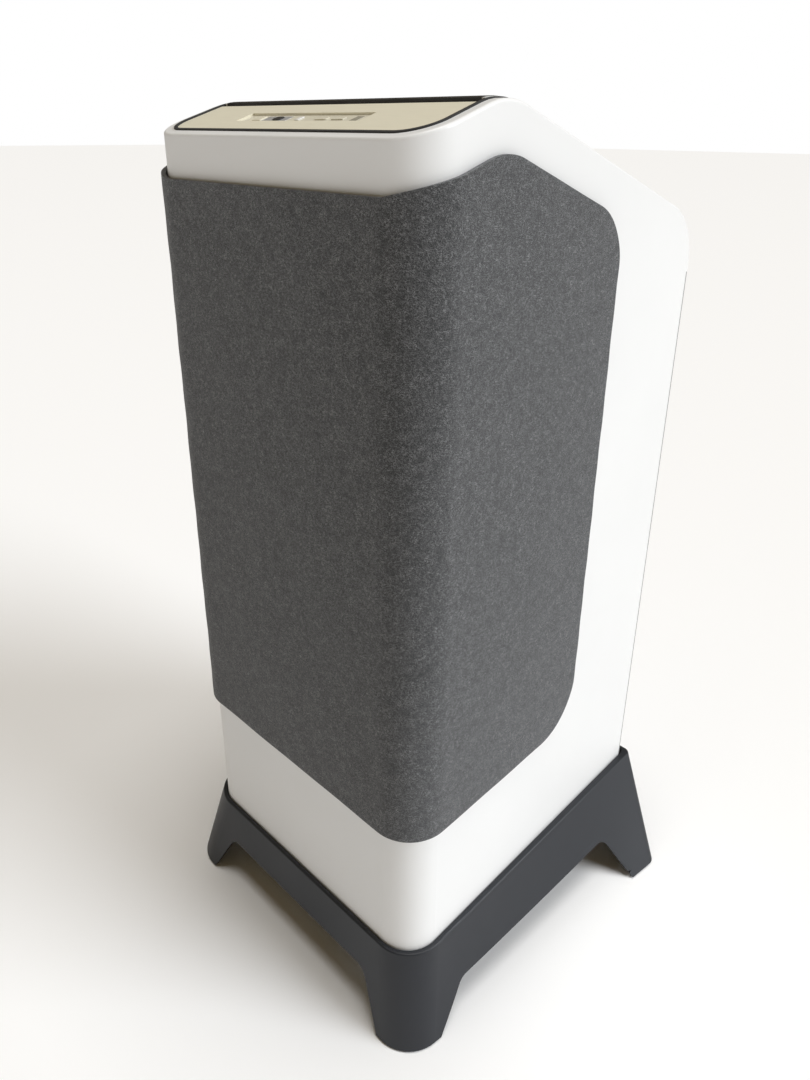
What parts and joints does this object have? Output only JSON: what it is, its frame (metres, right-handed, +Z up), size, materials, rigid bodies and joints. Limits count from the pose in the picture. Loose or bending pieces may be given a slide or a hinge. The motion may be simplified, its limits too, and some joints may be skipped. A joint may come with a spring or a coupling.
{
  "type": "air purifier",
  "caption": "Floor-standing office air purifier: sloped-top casing wrapped in a felt cover on a splayed four-legged stand, with rear service door, filters, fan and top outlet.",
  "frame": {"origin": "on the floor, below the middle of the casing", "axes": "+Z up, -Y towards the front face, +X to the right seen from the front"},
  "size_m": [0.7388, 0.682, 1.3292],
  "materials": {
    "casing_paint": "satin white powder coat",
    "frame_paint": "grey powder coat",
    "stand_paint": "satin anthracite powder coat on cast aluminium",
    "rubber": "matte black rubber",
    "steel": "zinc-plated steel",
    "felt": "dark grey melange felt",
    "panel_metal": "champagne anodised",
    "dark_plastic": "fine-textured black",
    "white_plastic": "white",
    "cream_plastic": "cream",
    "key_film": "printed film, panel colour",
    "display_glass": "blue-grey window",
    "board": "green solder mask",
    "motor_case": "die cast",
    "filter_card": "light grey frame",
    "filter_paper": "pleated filter paper",
    "carbon": "carbon granules behind mesh",
    "foam": "open-cell foam"
  },
  "bodies": {
    "cabinet": {"base_stand": "stand_paint", "foot_pads": "rubber", "stand_bolts": "steel", "outer_casing": "casing_paint", "rear_frame": "frame_paint", "frame_screws": "steel", "chassis_floor": "steel", "felt_cover": "felt", "felt_spacers": "dark_plastic", "top_panel": "panel_metal", "roof_seal": "rubber", "panel_carrier": "dark_plastic", "control_tray": "key_film", "display_window": "display_glass", "status_bar": "cream_plastic", "light_sensor": "dark_plastic", "control_board": "board", "key_switches": "dark_plastic", "board_posts": "steel", "outlet_grille": "dark_plastic", "outlet_end_caps": "white_plastic", "fan_bulkhead": "steel", "inlet_ring": "dark_plastic", "motor": "motor_case", "motor_bracket": "steel", "motor_screws": "steel", "outlet_duct": "steel", "filter_bay": "dark_plastic", "filter_seal": "rubber", "hepa_frame": "filter_card", "hepa_media": "filter_paper", "carbon_filter": "carbon", "prefilter": "dark_plastic", "foam_lining": "foam", "power_supply": "steel", "air_sensor": "dark_plastic", "mains_inlet": "dark_plastic", "switch_frame": "dark_plastic", "frame_hinges": "steel", "hinge_pins": "steel"},
    "fan_wheel": {"impeller": "dark_plastic", "fan_shaft": "steel"},
    "service_door": {"rear_door": "casing_paint", "intake_grille": "dark_plastic", "door_seal": "rubber", "door_pull": "frame_paint", "door_magnets": "steel", "door_hinges": "steel"},
    "power_switch": {"mains_rocker": "dark_plastic"},
    "power_key": {"power_key": "cream_plastic"},
    "mode_key": {"mode_key": "dark_plastic"},
    "timer_key": {"timer_key": "white_plastic"},
    "speed_down_key": {"speed_down_key": "key_film"},
    "speed_up_key": {"speed_up_key": "key_film"}
  },
  "joints": [
    {"name": "fan_spin", "type": "hinge", "parent": "cabinet", "child": "fan_wheel", "pos_m": [0, -0.06, 0.9], "axis": [0, 0, 1], "continuous": true},
    {"name": "door_swing", "type": "hinge", "parent": "cabinet", "child": "service_door", "pos_m": [-0.247, 0.309, 0.65], "axis": [0, 0, 1], "range_deg": [0, 110]},
    {"name": "power_rocker", "type": "hinge", "parent": "cabinet", "child": "power_switch", "pos_m": [0.095, 0.296, 0.18], "axis": [-1, 0, 0], "range_deg": [0, 14]},
    {"name": "power_key_press", "type": "slide", "parent": "cabinet", "child": "power_key", "axis": [0, 0.3159, -0.9488], "range_m": [0, 0.0008], "stiffness_N_per_m": 500, "springref_m": -0.0004},
    {"name": "mode_key_press", "type": "slide", "parent": "cabinet", "child": "mode_key", "axis": [0, 0.3159, -0.9488], "range_m": [0, 0.0008], "stiffness_N_per_m": 500, "springref_m": -0.0004},
    {"name": "timer_key_press", "type": "slide", "parent": "cabinet", "child": "timer_key", "axis": [0, 0.3159, -0.9488], "range_m": [0, 0.0008], "stiffness_N_per_m": 500, "springref_m": -0.0004},
    {"name": "speed_down_key_press", "type": "slide", "parent": "cabinet", "child": "speed_down_key", "axis": [0, 0.3159, -0.9488], "range_m": [0, 0.0008], "stiffness_N_per_m": 500, "springref_m": -0.0004},
    {"name": "speed_up_key_press", "type": "slide", "parent": "cabinet", "child": "speed_up_key", "axis": [0, 0.3159, -0.9488], "range_m": [0, 0.0008], "stiffness_N_per_m": 500, "springref_m": -0.0004}
  ]
}
